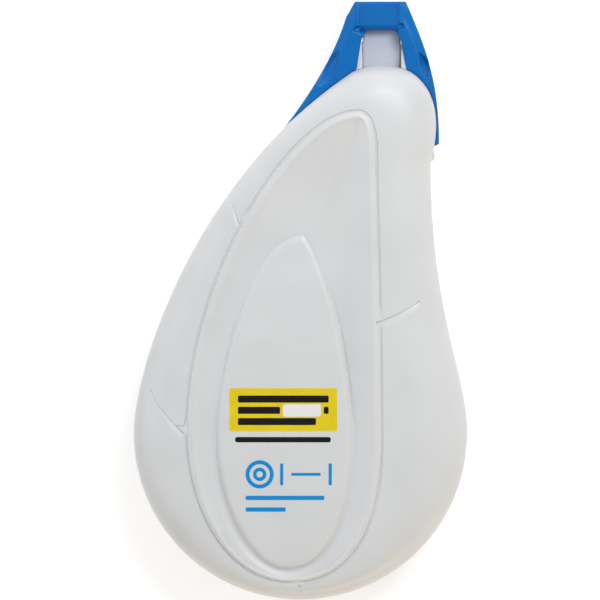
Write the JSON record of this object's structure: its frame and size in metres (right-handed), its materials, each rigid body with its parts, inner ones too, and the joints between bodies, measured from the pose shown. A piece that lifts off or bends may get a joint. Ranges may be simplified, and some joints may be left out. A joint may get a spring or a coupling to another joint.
{
  "type": "correction tape roller",
  "caption": "Teardrop correction tape roller with two white shells, reels on a geared drive, a flat applicator tip and a pull-off blue cap.",
  "frame": {"origin": "on the flat rear panel that the roller lies on, under the centre of the round belly", "axes": "+Y from the belly towards the tip, +Z out of the front panel, +X to the right as the front is seen"},
  "size_m": [0.0476, 0.0853, 0.016],
  "materials": {
    "shell_white": "satin moulded white plastic",
    "cap_blue": "satin moulded blue plastic",
    "tip_lilac": "smooth pale lilac plastic",
    "tape_white": "matt white coated film",
    "film_grey": "clear greyish carrier film",
    "gear_ivory": "moulded ivory plastic",
    "washer_dark": "dark friction rubber"
  },
  "bodies": {
    "case": {"front_shell": "shell_white", "rear_shell": "shell_white", "applicator_tip": "tip_lilac", "tape_run": "film_grey", "film_return": "film_grey", "back_stop_pawl": "gear_ivory"},
    "cap": {"tip_cap": "cap_blue"},
    "supply_drive": {"supply_gear": "gear_ivory", "clutch_washer": "washer_dark", "clutch_retainer": "gear_ivory"},
    "supply_reel": {"supply_core": "gear_ivory", "supply_top_flange": "gear_ivory", "tape_coil": "tape_white"},
    "takeup_reel": {"takeup_gear": "gear_ivory", "takeup_core": "gear_ivory", "takeup_top_flange": "gear_ivory", "takeup_retainer": "gear_ivory", "film_coil": "film_grey"},
    "tape_guide": {"tape_roller": "gear_ivory"},
    "film_guide": {"film_roller": "gear_ivory"}
  },
  "joints": [
    {"name": "cap_pull", "type": "slide", "parent": "case", "child": "cap", "axis": [0, 1, 0], "range_m": [0, 0.024]},
    {"name": "supply_spin", "type": "hinge", "parent": "case", "child": "supply_drive", "pos_m": [0, -0.002, 0.008], "axis": [0, 0, 1], "continuous": true},
    {"name": "clutch_slip", "type": "hinge", "parent": "supply_drive", "child": "supply_reel", "pos_m": [0, -0.002, 0.008], "axis": [0, 0, 1], "continuous": true},
    {"name": "takeup_spin", "type": "hinge", "parent": "case", "child": "takeup_reel", "pos_m": [-0.00152, 0.02436, 0.008], "axis": [0, 0, 1], "continuous": true},
    {"name": "tape_roller_spin", "type": "hinge", "parent": "case", "child": "tape_guide", "pos_m": [0.01082, 0.02945, 0.008], "axis": [0, 0, 1], "continuous": true},
    {"name": "film_roller_spin", "type": "hinge", "parent": "case", "child": "film_guide", "pos_m": [0.00802, 0.03436, 0.008], "axis": [0, 0, 1], "continuous": true}
  ],
  "couplings": [
    {"joint": "takeup_spin", "follows": "supply_spin", "ratio": -2}
  ]
}
